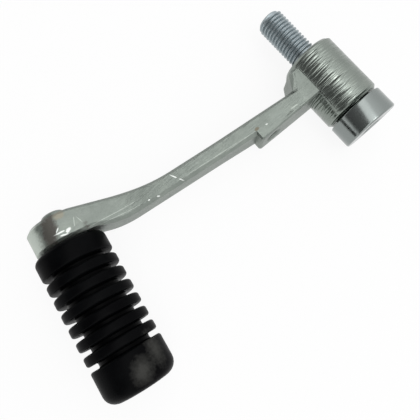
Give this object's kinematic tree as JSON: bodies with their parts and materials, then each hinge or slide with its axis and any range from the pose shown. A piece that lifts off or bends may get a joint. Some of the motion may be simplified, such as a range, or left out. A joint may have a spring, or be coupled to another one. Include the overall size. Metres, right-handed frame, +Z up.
{
  "type": "gear shift pedal",
  "caption": "Motorbike gear shift pedal: cranked steel lever on a shouldered pivot bolt with an M10 thread, ribbed rubber foot peg at the far end, tapped pad for a linkage rod.",
  "frame": {"origin": "on the pivot axis, in the plane where the bolt's shoulder seats on the bike's frame and its thread begins", "axes": "+Y along the pivot axis from the bike's frame to the bolt's head, +X from the pivot along the lever to the foot peg, +Z up as the pedal lies at rest"},
  "size_m": [0.1357, 0.0708, 0.0246],
  "materials": {
    "zinc_plated_steel": "satin zinc plate",
    "plated_bolt_steel": "bright zinc plate",
    "peg_steel": "satin zinc plate",
    "nitrile_rubber": "matt",
    "black_rubber": "satin"
  },
  "bodies": {
    "pivot": {"pivot_bolt": "plated_bolt_steel"},
    "lever": {"gear_lever": "zinc_plated_steel", "inner_dust_seal": "nitrile_rubber", "outer_dust_seal": "nitrile_rubber", "foot_peg": "peg_steel", "peg_rubber": "black_rubber"}
  },
  "joints": [
    {"name": "lever_pivot", "type": "hinge", "parent": "pivot", "child": "lever", "pos_m": [0, 0.0127, 0], "axis": [0, 1, 0], "continuous": true}
  ]
}
